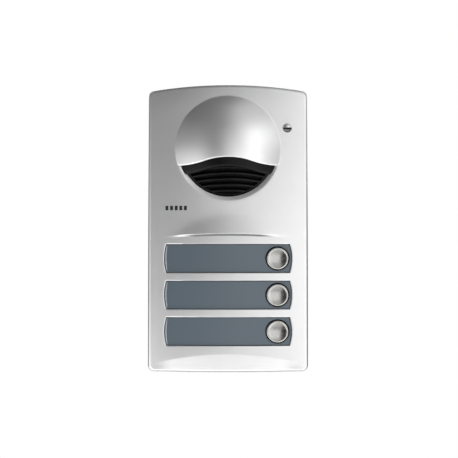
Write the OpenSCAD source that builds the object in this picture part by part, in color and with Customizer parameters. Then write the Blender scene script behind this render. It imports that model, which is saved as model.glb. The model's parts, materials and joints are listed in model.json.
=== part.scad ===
// Door intercom panel with three call buttons, a hooded loudspeaker and a microphone.
// Millimetres. The origin is the centre of the wall-side mounting plane: X runs to the
// visitor's right, Z runs up, and -Y points out of the wall towards the visitor.

/* [Fascia] */
// Width of the fascia at its bottom edge
fascia_w = 125; // [123:0.5:127]
// Width of the fascia at its top corners
fascia_w_top = 123.6; // [122:0.1:125]
// Height of the fascia from the bottom edge to the top of its arch
fascia_h = 224; // [223:0.5:226]
// Radius of the arched top edge
arch_r = 395; // [330:5:500]
// Radius of the slightly bowed bottom edge
foot_r = 2200; // [1500:100:4000]
// Radius of the four corners
corner_r = 4.7; // [4:0.1:6]
// Distance from the wall to the middle of the front surface
front_depth = 18; // [17.5:0.1:18.5]
// Radius of the front surface from side to side
bow_x = 500; // [450:10:650]
// Radius of the front surface from top to bottom
bow_z = 2400; // [2200:50:3000]
// Thickness of the die-cast wall
wall = 2.2; // [1.8:0.1:2.4]

/* [Loudspeaker hood] */
// Radius of the round hood
hood_r = 41.4; // [41:0.1:42]
// Height of the hood's centre above the middle of the panel
hood_z = 62.3; // [62:0.1:63]
// Radius of the hood's spherical front
hood_ball_r = 58.9; // [57:0.1:61]
// Depth from the wall to the rim of the hood
hood_rim_depth = 15.1; // [14.6:0.1:15.4]
// Radius of the louvred opening
grille_r = 37.4; // [37:0.1:38]
// Height of the crest of the hood's mouth
mouth_z = 55; // [54:0.1:56]
// Drop of the mouth's edge from its crest to its ends
mouth_drop = 6; // [5:0.1:7]
// Distance from one louvre to the next
louvre_pitch = 4.4; // [4.2:0.1:4.6]

/* [Plates and buttons] */
// Width of a name plate over its bowed ends
plate_w = 99.3; // [98:0.1:100]
// Height of a name plate
plate_h = 22.2; // [21.5:0.1:22.6]
// Distance from one name plate to the next
plate_pitch = 28.4; // [28.2:0.1:28.8]
// Height of the top plate's centre
plate_top_z = -23.1; // [-23.5:0.1:-23]
// Distance of the buttons from the middle of the panel
button_x = 38.5; // [38:0.1:39]
// Diameter of a metal button
button_d = 16.9; // [16.6:0.1:17]
// Travel of a button
button_travel = 1; // [0.6:0.1:1]

/* [Rear housing and mounting] */
// Width of the rear housing
housing_w = 88; // [87:0.5:89]
// Height of the rear housing
housing_h = 192; // [190:1:193]
// Depth of the rear housing behind the wall surface
housing_depth = 30; // [28:0.5:34]
// Distance between the wall screws from side to side
wall_screw_x = 105; // [104:0.5:106]
// Distance between the wall screws from top to bottom
wall_screw_z = 120; // [110:5:130]
// Diameter of the cable hole through the grommet
cable_d = 8; // [6:0.5:9]

/* [Hidden] */
$fn = 96;
fine = 360;
eps = 0.01;
top_z = fascia_h / 2;
hood_y = -hood_rim_depth + sqrt(pow(hood_ball_r, 2) - pow(hood_r, 2));
mouth_half = 37.3;
mouth_arc_r = (pow(mouth_half / 2, 2) + pow(mouth_drop / 2, 2)) / mouth_drop;
band_h = 7.2;
band_r = 39.4;
plate_end_r = 38.6;
mic_x = 46.1;
mic_z = 78.5;
mic_r = 3.75;
seal_t = 1.2;
board_front = -3.2;
board_t = 1.6;
board_back = board_front + board_t;
board_half = 41.6;
board_low = -93;
board_high = 10;
guide_front = 4.9;
guide_t = 2;
guide_back = guide_front + guide_t;
guide_half = 57;
guide_low = -94;
guide_high = -9;
ring_outer_r = 9.3;
ring_bore_r = button_d / 2 + 0.08;
ring_seat = 8.1;
flange_r = 9.4;
flange_front = ring_seat + 1.1;
flange_t = 0.8;
disc_front = 1.35;
disc_t = 1.2;
actuator_r = 1.75;
actuator_front = -7.7;
actuator_end = -5.4;
switch_top = actuator_front + button_travel + 0.3;
switch_bore_end = actuator_end + button_travel + 0.3;
speaker_z = 45;
baffle_front = -11.2;
baffle_back = -9.2;
basket_front = -8.2;
magnet_front = 4.1;
housing_front = -6;
housing_t = 2;
ear_t = 1.6;
ear_x = 50;
ear_z = 98;
guide_screw_x = 54.2;
security_x = 35;
security_y = -6;
cable_z = -53;
board_screws_at = [
    [-36, board_high - 5], [36, board_high - 5],
    [-26, board_low + 5], [26, board_low + 5]
];
trimmer_z = -30;
screw_clearance = 0.05;

// Height of plate 1, 2 or 3, counted from the top
function plate_z(i) = plate_top_z - (i - 1) * plate_pitch;

// Y of the front surface at a point of the fascia
function front_y(x, z) =
    -front_depth + bow_x - sqrt(bow_x * bow_x - x * x) + bow_z - sqrt(bow_z * bow_z - z * z);

function button_y(i) = front_y(button_x, plate_z(i));

// Solid behind a surface that bulges towards -Y, with its apex at the origin
module bulge(radius_x, radius_z, depth = 60) {
    span = 8;
    translate([0, radius_z, 0])
    rotate([0, 90, 0])
    rotate_extrude(angle = span, start = -90 - span / 2, $fn = 2 * fine)
    intersection() {
        translate([radius_z - radius_x, 0]) circle(r = radius_x, $fn = fine);
        translate([radius_z - depth, -80]) square([depth + 1, 160]);
    }
}

// Everything behind the front surface, set back from it by an inset
module behind_front(inset) {
    translate([0, inset - front_depth, 0]) bulge(bow_x - inset, bow_z - inset);
}

// A shape drawn in X and Z, made solid from one depth to another
module slab(from_y, to_y) {
    translate([0, to_y, 0]) rotate([90, 0, 0]) linear_extrude(to_y - from_y) children();
}

// A shape drawn in X and Z, made into a curved sheet that follows the front
module sheet(near, far) {
    difference() {
        intersection() {
            slab(-25, 0) children();
            behind_front(near);
        }
        behind_front(far);
    }
}

// A round rod or hole along Y
module rod(r, from_y, to_y, x = 0, z = 0) {
    translate([x, to_y, z]) rotate([90, 0, 0]) cylinder(r = r, h = to_y - from_y);
}

module tube_ring(outer_r, inner_r, from_y, to_y, x = 0, z = 0) {
    difference() {
        rod(outer_r, from_y, to_y, x, z);
        rod(inner_r, from_y - 1, to_y + 1, x, z);
    }
}

module block(from, to) {
    translate(from) cube(to - from);
}

// One arched edge, with its apex at height reach, between the two corner circles
module edge_arch(reach, radius, half, corner) {
    touch = half * radius / (radius - corner);
    intersection() {
        translate([0, reach - radius]) circle(r = radius, $fn = 4 * fine);
        translate([-touch, 0]) square([2 * touch, reach + 1]);
    }
}

function corner_height(reach, radius, half, corner) =
    reach - radius + sqrt(pow(radius - corner, 2) - pow(half, 2));

// Outline of the fascia, drawn in by an inset all round
module outline(inset) {
    corner = max(corner_r - inset, 0.8);
    half_low = fascia_w / 2 - inset;
    half_high = fascia_w_top / 2 - inset;
    reach = top_z - inset;
    high = corner_height(reach, arch_r - inset, half_high - corner, corner);
    low = corner_height(reach, foot_r - inset, half_low - corner, corner);
    edge_arch(reach, arch_r - inset, half_high - corner, corner);
    mirror([0, 1]) edge_arch(reach, foot_r - inset, half_low - corner, corner);
    polygon([
        [-half_low, -low], [half_low, -low], [half_high, high], [-half_high, high]
    ]);
    for (side = [-1, 1]) {
        translate([side * (half_high - corner), high]) circle(r = corner);
        translate([side * (half_low - corner), -low]) circle(r = corner);
    }
}

// Outline of a name plate with its two bowed ends, grown by an amount all round
module plate_outline(i, grow) {
    translate([0, plate_z(i)])
    intersection() {
        square([plate_w + 2 * grow, plate_h + 2 * grow], center = true);
        for (side = [-1, 1])
            translate([side * (plate_w / 2 - plate_end_r), 0])
                circle(r = plate_end_r + grow, $fn = fine);
    }
}

// Everything below the gull-wing edge of the hood's mouth, lowered by an amount
module below_mouth(lower) {
    quarter = mouth_half / 2;
    translate([0, -lower]) {
        intersection() {
            translate([0, mouth_z - mouth_arc_r]) circle(r = mouth_arc_r, $fn = fine);
            translate([-quarter, 0]) square([2 * quarter, mouth_z + 1]);
        }
        for (side = [-1, 1])
            difference() {
                translate([side > 0 ? quarter : -quarter - 30, 0])
                    square([30, mouth_z - mouth_drop / 2]);
                translate([side * mouth_half, mouth_z - mouth_drop + mouth_arc_r])
                    circle(r = mouth_arc_r, $fn = fine);
            }
    }
}

module hood_disc(r) {
    translate([0, hood_z]) circle(r = r, $fn = fine);
}

module hood_ball(r) {
    translate([0, hood_y, hood_z]) rotate([90, 0, 0]) sphere(r = r, $fn = fine);
}

// Domed cap of the hood
module hood_cap(ball_r, disc_r) {
    intersection() {
        hood_ball(ball_r);
        slab(-60, -4) hood_disc(disc_r);
    }
}

// Eyebrow above the plates: a ramp that swells downward and ends in a step
module eyebrow() {
    crest_z = -3.5;
    rise = 3;
    crest_r = 545;
    intersection() {
        slab(-30, -10) difference() {
            translate([-46, crest_z - 4]) square([92, 22]);
            translate([0, crest_z - crest_r]) circle(r = crest_r, $fn = 3 * fine);
        }
        translate([0, front_y(0, crest_z) - rise, crest_z]) rotate([-12, 0, 0]) bulge(185, 1800, 8);
    }
}

// The strip under the plates, which leans back below a curved crease
module apron_cut() {
    crease_z = -97.5;
    crease_r = 227;
    step = 0.15;
    difference() {
        slab(-30, 5) intersection() {
            translate([-70, -120]) square([140, 120 + crease_z]);
            translate([0, crease_z - crease_r]) circle(r = crease_r, $fn = fine);
        }
        translate([0, front_y(0, crease_z) + step, crease_z]) rotate([8, 0, 0]) bulge(725, 2400);
    }
}

module mic_hood() {
    intersection() {
        translate([mic_x, front_y(mic_x, mic_z) + 1.4, mic_z]) sphere(r = mic_r);
        block([mic_x - 5, -25, mic_z - 0.7], [mic_x + 5, 0, mic_z + 5]);
    }
}

module mic_recess() {
    face = front_y(mic_x, mic_z);
    intersection() {
        translate([mic_x, face - 2.2, mic_z]) sphere(r = mic_r + 0.4);
        block([mic_x - 5, -25, mic_z - 5], [mic_x + 5, 0, mic_z - 0.7]);
    }
    block([mic_x - 2.6, face - 1, mic_z - 1.7], [mic_x + 2.6, face + 4, mic_z - 0.3]);
}

// Posts and collars that stand on the inside of the fascia
module fascia_posts() {
    intersection() {
        behind_front(1);
        union() {
            for (x = [-ear_x, ear_x], z = [-ear_z, ear_z])
                rod(3.1, -25, housing_front - 0.1, x, z);
            for (a = [45, 135, 225, 315])
                rod(3, -25, baffle_front - 0.1, 47 * cos(a), hood_z + 47 * sin(a));
            tube_ring(grille_r + 3.4, grille_r - 1, -25, -13, 0, hood_z);
            rod(5.5, -25, -8.8, mic_x, mic_z);
            for (x = [-security_x, security_x])
                block([x - 5, -25, -top_z + 1.5], [x + 5, -2.7, -106.5]);
        }
    }
    intersection() {
        behind_front(1);
        for (x = [-guide_screw_x, guide_screw_x], z = [guide_low + 4, guide_high - 4])
            rod(2.4, -25, front_y(x, z) + guide_front - 0.4, x, z);
    }
}

module fascia_holes() {
    for (x = [-ear_x, ear_x], z = [-ear_z, ear_z])
        rod(1.25 + screw_clearance, housing_front - 5.6, 0, x, z);
    for (a = [45, 135, 225, 315])
        rod(1.25 + screw_clearance, baffle_front - 1.6, 0, 47 * cos(a), hood_z + 47 * sin(a));
    for (x = [-guide_screw_x, guide_screw_x], z = [guide_low + 4, guide_high - 4])
        rod(1 + screw_clearance, front_y(x, z) + wall - 0.4, 0, x, z);
    rod(4.6, -12.4, 0, mic_x, mic_z);
    for (x = [-security_x, security_x]) {
        translate([x, security_y, -120]) cylinder(r = 1.75, h = 20);
        translate([x, security_y, -120]) cylinder(r = 3.1, h = 120 - top_z + 2.7);
    }
}

// Ledges inside the top edge, which hang on the mounting frame's hooks
module hanging_ledges() {
    for (x = [-30, 30])
        block([x - 8, -7.2, 105.3], [x + 8, -5, 109.6]);
}

module fascia() {
    color("silver") difference() {
        union() {
            difference() {
                union() {
                    intersection() {
                        slab(-30, -seal_t - 0.1) outline(0);
                        behind_front(0);
                    }
                    hood_cap(hood_ball_r, hood_r);
                    eyebrow();
                    mic_hood();
                }
                intersection() {
                    slab(-30, 5) outline(wall);
                    behind_front(wall);
                }
                hood_cap(hood_ball_r - wall, hood_r - wall);
                apron_cut();
            }
            fascia_posts();
            hanging_ledges();
        }
        fascia_holes();
        mic_recess();
        hood_cap(hood_ball_r - wall, grille_r);
        slab(-60, -8) intersection() {
            below_mouth(0);
            hood_disc(grille_r);
        }
        intersection() {
            slab(-60, -10) below_mouth(0);
            translate([0, -19.5, hood_z]) rotate([-90, 0, 0])
                cylinder(r1 = hood_r + 1.5, r2 = grille_r - 0.5, h = 5.5, $fn = fine);
        }
        intersection() {
            slab(-60, -14.6) below_mouth(0);
            slab(-60, -14.6) difference() {
                hood_disc(band_r + 0.6);
                below_mouth(band_h + 0.4);
            }
        }
        for (i = [1 : 3])
            slab(-30, 0) plate_outline(i, 0);
        difference() {
            slab(-30, 0) marker_shapes(0);
            behind_front(0.7);
        }
    }
}

module marker_shapes(shrink) {
    for (k = [-2 : 2])
        translate([-40.2 + 3.6 * k, 16.1])
            square([2.4 - 2 * shrink, 3.6 - 2 * shrink], center = true);
}

module marker_inlays() {
    color("black") sheet(0.05, 0.65) marker_shapes(0.05);
}

// Curved louvre slots between the grille's blades
module louvre_slots() {
    arc_r = 150;
    blade_t = 1.9;
    for (k = [0 : 5])
        intersection() {
            hood_disc(grille_r - 2.2);
            translate([0, 45.3 - k * louvre_pitch - arc_r]) difference() {
                circle(r = arc_r, $fn = fine);
                translate([0, blade_t - louvre_pitch]) circle(r = arc_r, $fn = fine);
            }
        }
}

module speaker_grille() {
    shell_r = hood_ball_r - wall - 0.5;
    color("dimgray") {
        difference() {
            intersection() {
                hood_ball(shell_r);
                slab(-60, -12.7) intersection() {
                    below_mouth(-3);
                    hood_disc(grille_r - 0.3);
                }
            }
            hood_ball(shell_r - 4.5);
            slab(-60, 0) intersection() {
                louvre_slots();
                below_mouth(band_h);
            }
        }
        // Lip band under the hood's mouth, proud of the louvres
        difference() {
            intersection() {
                hood_ball(hood_ball_r - 1);
                slab(-60, -15.2) difference() {
                    intersection() {
                        below_mouth(0.5);
                        hood_disc(band_r);
                    }
                    below_mouth(band_h);
                }
            }
            hood_ball(shell_r - 2);
        }
        // Flange that clamps behind the fascia
        difference() {
            slab(-12.9, -11.8) hood_disc(grille_r + 2);
            slab(-14, -10) hood_disc(grille_r - 2.4);
        }
        // Web that joins the louvres' rim to the flange
        difference() {
            slab(-17, -12) intersection() {
                hood_disc(grille_r - 0.3);
                below_mouth(0);
            }
            slab(-20, -10) hood_disc(grille_r - 2.4);
            difference() {
                slab(-40, 0) hood_disc(grille_r + 1);
                hood_ball(shell_r);
            }
        }
    }
}

module acoustic_felt() {
    color("black") slab(-11.7, -11.3) hood_disc(grille_r + 1);
}

module speaker_baffle() {
    color("dimgray") difference() {
        union() {
            rod(43, baffle_front, baffle_back, 0, hood_z);
            for (a = [45, 135, 225, 315])
                rod(4.5, baffle_front, baffle_back, 47 * cos(a), hood_z + 47 * sin(a));
        }
        rod(22.5, -20, 0, 0, speaker_z);
        for (a = [45, 135, 225, 315])
            rod(1.5, -20, 0, 47 * cos(a), hood_z + 47 * sin(a));
    }
}

// A pan-head screw along Y with its head behind head_y and its tip towards the visitor
module rear_screw(x, z, head_y, tip_y, shaft_r, head_r) {
    difference() {
        union() {
            rod(shaft_r, tip_y, head_y + 0.2, x, z);
            rod(head_r, head_y, head_y + 1.5, x, z);
        }
        block([x - head_r, head_y + 0.8, z - 0.35], [x + head_r, head_y + 2, z + 0.35]);
    }
}

module baffle_screws() {
    color("silver") for (a = [45, 135, 225, 315])
        rear_screw(47 * cos(a), hood_z + 47 * sin(a), baffle_back + 0.05, baffle_front - 1.5, 1.25, 2.6);
}

module speaker_gasket() {
    color("black") tube_ring(25, 22.7, baffle_back + 0.1, basket_front - 0.1, 0, speaker_z);
}

module speaker_basket() {
    color("silver") translate([0, 0, speaker_z]) rotate([-90, 0, 0]) difference() {
        rotate_extrude() polygon([
            [22.75, basket_front], [25, basket_front], [25, basket_front + 1], [23.6, basket_front + 1],
            [14, magnet_front - 0.1], [7.4, magnet_front - 0.1], [7.4, magnet_front - 1.1],
            [13.4, magnet_front - 1.1], [22.5, basket_front + 1.2]
        ]);
        for (a = [45, 135, 225, 315])
            rotate([0, 0, a]) translate([13.8, -4, basket_front + 2.5]) cube([10, 8, 6.5]);
    }
}

module speaker_magnet() {
    color("dimgray") difference() {
        rod(14, magnet_front, magnet_front + 8, 0, speaker_z);
        tube_ring(7.2, 6.1, 0, magnet_front + 6, 0, speaker_z);
    }
}

module speaker_cone() {
    color("tan") translate([0, 0, speaker_z]) rotate([-90, 0, 0]) rotate_extrude() {
        polygon([[19.6, -7.6], [20.2, -7.2], [7, 1], [6.4, 1], [6.4, 0.4]]);
        translate([6.4, 0]) square([0.45, magnet_front + 3.5]);
        translate([0, 0.3]) square([6.6, 0.5]);
    }
}

module speaker_surround() {
    color("black") translate([0, 0, speaker_z]) rotate([-90, 0, 0]) rotate_extrude() difference() {
        translate([21.35, -7.6]) circle(r = 1.05);
        translate([21.35, -7.6]) circle(r = 0.65);
        translate([19, -7.6]) square([5, 3]);
    }
}

module mic_boot() {
    color("black") tube_ring(4.5, 3.05, -12.3, -8, mic_x, mic_z);
}

module mic_capsule() {
    color("silver") rod(3, -11.4, -8.2, mic_x, mic_z);
}

module name_window(i) {
    color("lightsteelblue", 0.5) difference() {
        union() {
            sheet(0.8, 3) plate_outline(i, -0.5);
            sheet(2.4, 3.9) plate_outline(i, 1.4);
        }
        rod(ring_outer_r + 0.2, -30, 0, button_x, plate_z(i));
    }
}

module name_card(i) {
    color("slategray") difference() {
        sheet(4, 4.4) intersection() {
            plate_outline(i, 1.2);
            translate([-46.4, -120]) square([100, 120]);
        }
        rod(ring_outer_r + 0.2, -30, 0, button_x, plate_z(i));
    }
}

module light_guide() {
    color("white") difference() {
        sheet(guide_front, guide_back)
            translate([-guide_half, guide_low]) square([2 * guide_half, guide_high - guide_low]);
        for (i = [1 : 3])
            rod(ring_outer_r + 0.2, -30, 0, button_x, plate_z(i));
        for (x = [-guide_screw_x, guide_screw_x], z = [guide_low + 4, guide_high - 4])
            rod(1.2, -30, 0, x, z);
    }
}

module light_guide_screws() {
    color("silver") for (x = [-guide_screw_x, guide_screw_x], z = [guide_low + 4, guide_high - 4]) {
        head = front_y(x, z) + guide_back + 0.3;
        rear_screw(x, z, head, head - 4.6, 1, 2);
    }
}

module button_ring(i) {
    face = button_y(i);
    color("dimgray") difference() {
        union() {
            rod(ring_outer_r, face + 0.2, face + ring_seat + 0.1, button_x, plate_z(i));
            rod(ring_outer_r + 2, face + ring_seat, face + ring_seat + 1, button_x, plate_z(i));
        }
        rod(ring_bore_r, -30, 0, button_x, plate_z(i));
    }
}

module button_cap(i) {
    face = button_y(i);
    r = button_d / 2;
    dish_r = 32;
    color("gainsboro") translate([button_x, face, plate_z(i)]) rotate([-90, 0, 0])
    difference() {
        union() {
            translate([0, 0, -0.4]) cylinder(r = r, h = 3.9);
            translate([0, 0, -0.9]) cylinder(r1 = r - 0.6, r2 = r, h = 0.5 + eps);
        }
        translate([0, 0, -dish_r]) sphere(r = dish_r, $fn = fine);
        translate([0, 0, 1.3]) cylinder(r = r - 0.5, h = 5);
    }
}

module button_plunger(i) {
    face = button_y(i);
    tube_r = button_d / 2 - 0.55;
    color("black") difference() {
        union() {
            rod(tube_r, face + disc_front, face + flange_front + flange_t, button_x, plate_z(i));
            rod(flange_r, face + flange_front, face + flange_front + flange_t, button_x, plate_z(i));
        }
        difference() {
            rod(6.8, face + disc_front + disc_t, 10, button_x, plate_z(i));
            rod(2.2, -30, actuator_front - 0.05, button_x, plate_z(i));
        }
    }
}

// A helical wire of round section, closed at both ends
module coil(mean_r, wire_r, turns, length) {
    per_turn = 20;
    sides = 8;
    steps = turns * per_turn;
    points = [
        for (s = [0 : steps], k = [0 : sides - 1])
            let (a = 360 * s / per_turn, b = 360 * k / sides, r = mean_r + wire_r * cos(b))
            [r * cos(a), r * sin(a), wire_r + (length - 2 * wire_r) * s / steps + wire_r * sin(b)]
    ];
    skin = [
        for (s = [0 : steps - 1], k = [0 : sides - 1])
            let (a = s * sides + k, b = s * sides + (k + 1) % sides)
            [a, a + sides, b + sides, b]
    ];
    ends = [
        [for (k = [0 : sides - 1]) k],
        [for (k = [sides - 1 : -1 : 0]) steps * sides + k]
    ];
    polyhedron(points = points, faces = concat(skin, ends));
}

module button_spring(i) {
    seat = button_y(i) + disc_front + disc_t + 0.05;
    color("silver") translate([button_x, board_front - 0.05, plate_z(i)]) rotate([90, 0, 0])
        coil(5.4, 0.35, 5, board_front - 0.05 - seat);
}

module main_board() {
    color("darkgreen") difference() {
        block([-board_half, board_front, board_low], [board_half, board_back, board_high]);
        for (at = board_screws_at)
            rod(1.4, -10, 10, at[0], at[1]);
        for (z = [board_low - 1, board_high - 1])
            block([-board_half - 1, -10, z], [-board_half + 2, 10, z + 2]);
    }
}

module board_screws() {
    color("silver") for (at = board_screws_at)
        mirror([0, 1, 0]) rear_screw(at[0], at[1], -board_front + 0.05, -board_back - 4, 1.25, 2.4);
}

module switch_bodies() {
    color("black") for (i = [1 : 3])
        difference() {
            block(
                [button_x - 3, switch_top, plate_z(i) - 3],
                [button_x + 3, board_front - 0.05, plate_z(i) + 3]
            );
            rod(actuator_r + 0.05, -30, switch_bore_end, button_x, plate_z(i));
        }
}

module switch_actuator(i) {
    color("white")
        rod(actuator_r, actuator_front, actuator_end, button_x, plate_z(i));
}

module indicator_leds() {
    color("ivory") for (i = [1 : 3], x = [-34, -10, 14])
        block(
            [x - 1.75, board_front - 1.5, plate_z(i) - 1.4],
            [x + 1.75, board_front - 0.05, plate_z(i) + 1.4]
        );
}

// A small-outline chip on the back of the board, with its row of pins on each side
module chip(x, z, length) {
    block([x - length / 2, board_back + 0.15, z - 2], [x + length / 2, board_back + 1.9, z + 2]);
    for (p = [-length / 2 + 0.8 : 1.27 : length / 2 - 0.5], side = [-1, 1])
        block(
            [x + p - 0.2, board_back + 0.05, z + side * 2.4 - 0.6],
            [x + p + 0.2, board_back + 0.6, z + side * 2.4 + 0.6]
        );
}

module integrated_circuits() {
    color("black") {
        chip(-24, -20, 10);
        chip(6, -18, 8.7);
    }
}

module capacitors() {
    color("navy") {
        rod(5, board_back + 0.05, board_back + 14, -30, -42);
        rod(4, board_back + 0.05, board_back + 11, -18, -42);
        rod(4, board_back + 0.05, board_back + 11, 29, -30);
        rod(3.2, board_back + 0.05, board_back + 9, 29, -41);
    }
}

function terminal_x(k) = -17.5 + 5 * k;

module terminal_block() {
    color("forestgreen") difference() {
        block([-20.2, board_back + 0.05, -86], [20.2, board_back + 12, -76]);
        for (k = [0 : 7]) {
            rod(1.9, board_back + 4, 20, terminal_x(k), -79.5);
            block([terminal_x(k) - 1.7, board_back + 2.5, -87], [terminal_x(k) + 1.7, board_back + 6.5, -83]);
        }
    }
}

module terminal_screws() {
    color("silver") for (k = [0 : 7])
        difference() {
            rod(1.8, board_back + 4.1, board_back + 10.8, terminal_x(k), -79.5);
            block([terminal_x(k) - 2, board_back + 10, -79.9], [terminal_x(k) + 2, board_back + 12, -79.1]);
        }
}

function trimmer_x(k) = k == 1 ? -6 : 8;

module trimmer_bodies() {
    color("royalblue") for (k = [1, 2])
        difference() {
            block(
                [trimmer_x(k) - 4, board_back + 0.05, trimmer_z - 4],
                [trimmer_x(k) + 4, board_back + 5, trimmer_z + 4]
            );
            rod(2.85, board_back + 2, 10, trimmer_x(k), trimmer_z);
        }
}

module trimmer_rotor(k) {
    color("white") difference() {
        rod(2.8, board_back + 2.1, board_back + 5.4, trimmer_x(k), trimmer_z);
        block(
            [trimmer_x(k) - 2, board_back + 4.4, trimmer_z - 0.4],
            [trimmer_x(k) + 2, board_back + 6, trimmer_z + 0.4]
        );
    }
}

module lead_header() {
    color("ivory") difference() {
        block([-7, board_back + 0.05, 1], [7, board_back + 7, 6.5]);
        block([-6, board_back + 1.5, 2], [6, board_back + 8, 5.5]);
    }
}

// A rectangle with rounded corners, centred on the origin
module rounded_panel(half_x, half_z, r) {
    square([2 * (half_x - r), 2 * half_z], center = true);
    square([2 * half_x, 2 * (half_z - r)], center = true);
    for (x = [r - half_x, half_x - r], z = [r - half_z, half_z - r])
        translate([x, z]) circle(r = r);
}

module rear_housing() {
    w = housing_w / 2;
    h = housing_h / 2;
    color("gray") difference() {
        union() {
            difference() {
                slab(housing_front, housing_depth) rounded_panel(w, h, 5);
                slab(housing_front - 1, housing_depth - housing_t)
                    rounded_panel(w - housing_t, h - housing_t, 1.2);
            }
            // Stiffening ribs across the back
            for (z = [-82, -24, 0, 42, 82])
                block([-w + 9, housing_depth - 1, z - 0.8], [w - 9, housing_depth + 1, z + 0.8]);
            for (at = board_screws_at)
                rod(3, board_back + 0.1, housing_depth - 1, at[0], at[1]);
            for (side = [-1, 1], z = [-ear_z, ear_z]) {
                inner = side > 0 ? w - 1 : -ear_x;
                block([inner, housing_front, min(z, sign(z) * (h - 4))],
                      [inner + ear_x - w + 1, housing_front + ear_t, max(z, sign(z) * (h - 4))]);
                rod(4, housing_front, housing_front + ear_t, side * ear_x, z);
            }
        }
        block([w - housing_t - 1, housing_front - 1, guide_low + 0.5], [w + 1, board_front + 0.4, guide_high]);
        for (x = [-ear_x, ear_x], z = [-ear_z, ear_z])
            rod(1.5, -10, 0, x, z);
        for (at = board_screws_at)
            rod(1.25 + screw_clearance, -10, board_back + 6, at[0], at[1]);
        for (k = [1, 2])
            rod(2.5, 20, 40, trimmer_x(k), trimmer_z);
        rod(7, 20, 40, 0, cable_z);
        // Knock-out rings for other cable ways
        for (x = [-22, 22])
            tube_ring(9, 8, housing_depth - 0.8, 40, x, 62);
        // Drain slots
        for (x = [-20, 20])
            block([x - 4, 4, -h - 1], [x + 4, 6, -h + housing_t + 1]);
    }
}

module housing_screws() {
    color("silver") for (x = [-ear_x, ear_x], z = [-ear_z, ear_z])
        rear_screw(x, z, housing_front + ear_t + 0.05, housing_front - 5, 1.25, 2.6);
}

module cable_grommet() {
    color("black") difference() {
        union() {
            rod(6.9, housing_depth - housing_t - 1.5, housing_depth + 2, 0, cable_z);
            rod(8.5, housing_depth - housing_t - 1.6, housing_depth - housing_t - 0.05, 0, cable_z);
            rod(8.5, housing_depth + 0.05, housing_depth + 2, 0, cable_z);
        }
        rod(cable_d / 2, 0, 50, 0, cable_z);
    }
}

// A slotted screw hole, long in X, with both its ends round
module slot(x, z, length, r) {
    for (side = [-1, 1])
        rod(r, -5, 5, x + side * (length / 2 - r), z);
    block([x - length / 2 + r, -5, z - r], [x + length / 2 - r, 5, z + r]);
}

module mounting_frame() {
    frame_front = -2.5;
    color("lightgray") difference() {
        union() {
            difference() {
                slab(frame_front, 0) outline(3.4);
                slab(-5, 5) rounded_panel(housing_w / 2 + 2.5, housing_h / 2 + 3.5, 3);
            }
            // Hooks at the top
            for (x = [-30, 30]) {
                block([x - 6, -9, 101.5], [x + 6, -1, 103.5]);
                block([x - 6, -9.2, 101.5], [x + 6, -7.4, 108]);
            }
            // Screw tabs at the bottom
            for (x = [-security_x, security_x])
                block([x - 5, -9, -106.2], [x + 5, -1, -100]);
        }
        for (x = [-wall_screw_x / 2, wall_screw_x / 2], z = [-wall_screw_z / 2, wall_screw_z / 2])
            slot(x, z, 8, 2.2);
        for (x = [-security_x, security_x])
            translate([x, security_y, -107]) cylinder(r = 1.5 + screw_clearance, h = 8);
    }
}

module security_screws() {
    color("silver") for (x = [-security_x, security_x])
        translate([x, security_y, -top_z + 0.6]) difference() {
            union() {
                cylinder(r = 2.9, h = 2);
                cylinder(r = 1.5, h = 11.5);
            }
            translate([0, 0, -1]) cylinder(r = 1.3, h = 2.2, $fn = 6);
        }
}

module weather_seal() {
    color("black") slab(-seal_t, 0) difference() {
        outline(0.4);
        outline(3);
    }
}

fascia();
marker_inlays();
speaker_grille();
acoustic_felt();
speaker_baffle();
baffle_screws();
speaker_gasket();
speaker_basket();
speaker_magnet();
speaker_cone();
speaker_surround();
mic_boot();
mic_capsule();
name_window(1);  // name_window_1
name_window(2);  // name_window_2
name_window(3);  // name_window_3
name_card(1);  // name_card_1
name_card(2);  // name_card_2
name_card(3);  // name_card_3
light_guide();
light_guide_screws();
button_ring(1);  // button_ring_1
button_ring(2);  // button_ring_2
button_ring(3);  // button_ring_3
button_cap(1);  // button_cap_1
button_cap(2);  // button_cap_2
button_cap(3);  // button_cap_3
button_plunger(1);  // button_plunger_1
button_plunger(2);  // button_plunger_2
button_plunger(3);  // button_plunger_3
button_spring(1);  // button_spring_1
button_spring(2);  // button_spring_2
button_spring(3);  // button_spring_3
main_board();
board_screws();
switch_bodies();
switch_actuator(1);  // switch_actuator_1
switch_actuator(2);  // switch_actuator_2
switch_actuator(3);  // switch_actuator_3
indicator_leds();
integrated_circuits();
capacitors();
terminal_block();
terminal_screws();
trimmer_bodies();
trimmer_rotor(1);  // trimmer_rotor_1
trimmer_rotor(2);  // trimmer_rotor_2
lead_header();
rear_housing();
housing_screws();
cable_grommet();
mounting_frame();
security_screws();
weather_seal();
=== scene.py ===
"""Looks for the door intercom panel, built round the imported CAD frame.

Shapes are worked out in millimetres in the frame's own axes (X right, Z up, -Y out of the wall)
and scaled to metres when a mesh is made.
"""

import json
import math

import bmesh
import bpy
import numpy as np
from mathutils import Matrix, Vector
from mathutils.geometry import delaunay_2d_cdt


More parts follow.
